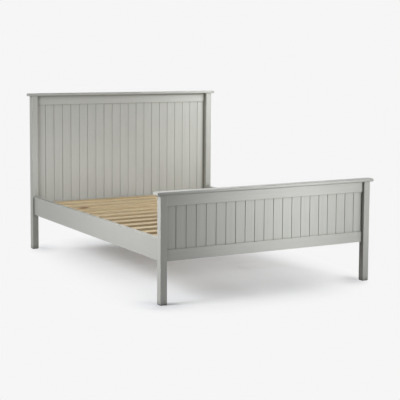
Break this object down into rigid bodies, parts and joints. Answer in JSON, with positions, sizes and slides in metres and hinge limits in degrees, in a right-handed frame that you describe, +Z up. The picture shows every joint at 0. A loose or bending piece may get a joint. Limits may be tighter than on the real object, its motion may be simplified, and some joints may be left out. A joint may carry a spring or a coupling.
{
  "type": "bed frame",
  "caption": "Painted wooden double bed frame with grooved panels, rounded caps and a slatted deck for a mattress.",
  "frame": {"origin": "on the floor, under the middle of the frame's outer length and width", "axes": "+Y from the footboard to the headboard, +X to the right for someone who stands at the foot and looks at the headboard, +Z up"},
  "size_m": [1.494, 2.008, 1.101],
  "materials": {
    "paint": "eggshell dove-grey paint over solid wood, with a faint brushed grain and slightly worn edges",
    "pine": "bare planed pine",
    "beech": "fluted beech dowel",
    "zinc": "zinc-plated steel",
    "glide": "black moulded plastic"
  },
  "bodies": {
    "root": {"foot_post_left": "paint", "foot_post_right": "paint", "foot_top_rail": "paint", "foot_bottom_rail": "paint", "foot_panel": "paint", "foot_cap": "paint", "head_post_left": "paint", "head_post_right": "paint", "head_top_rail": "paint", "head_bottom_rail": "paint", "head_panel": "paint", "head_cap": "paint", "side_rail_left": "paint", "side_rail_right": "paint", "slat_ledge_left": "pine", "slat_ledge_right": "pine", "centre_rail": "pine", "centre_saddle_foot": "zinc", "centre_saddle_head": "zinc", "floor_glides": "glide", "hanger_bolts": "zinc", "half_moon_washers": "zinc", "bolt_nuts": "zinc", "side_rail_dowels": "beech", "foot_rail_dowels": "beech", "head_rail_dowels": "beech", "foot_cap_dowels": "beech", "head_cap_dowels": "beech", "ledge_screws": "zinc", "slat_screws": "zinc", "saddle_screws": "zinc", "head_panel_screws": "zinc", "slat_01": "pine", "slat_02": "pine", "slat_03": "pine", "slat_04": "pine", "slat_05": "pine", "slat_06": "pine", "slat_07": "pine", "slat_08": "pine", "slat_09": "pine", "slat_10": "pine", "slat_11": "pine", "slat_12": "pine", "slat_13": "pine", "slat_14": "pine"}
  },
  "joints": []
}
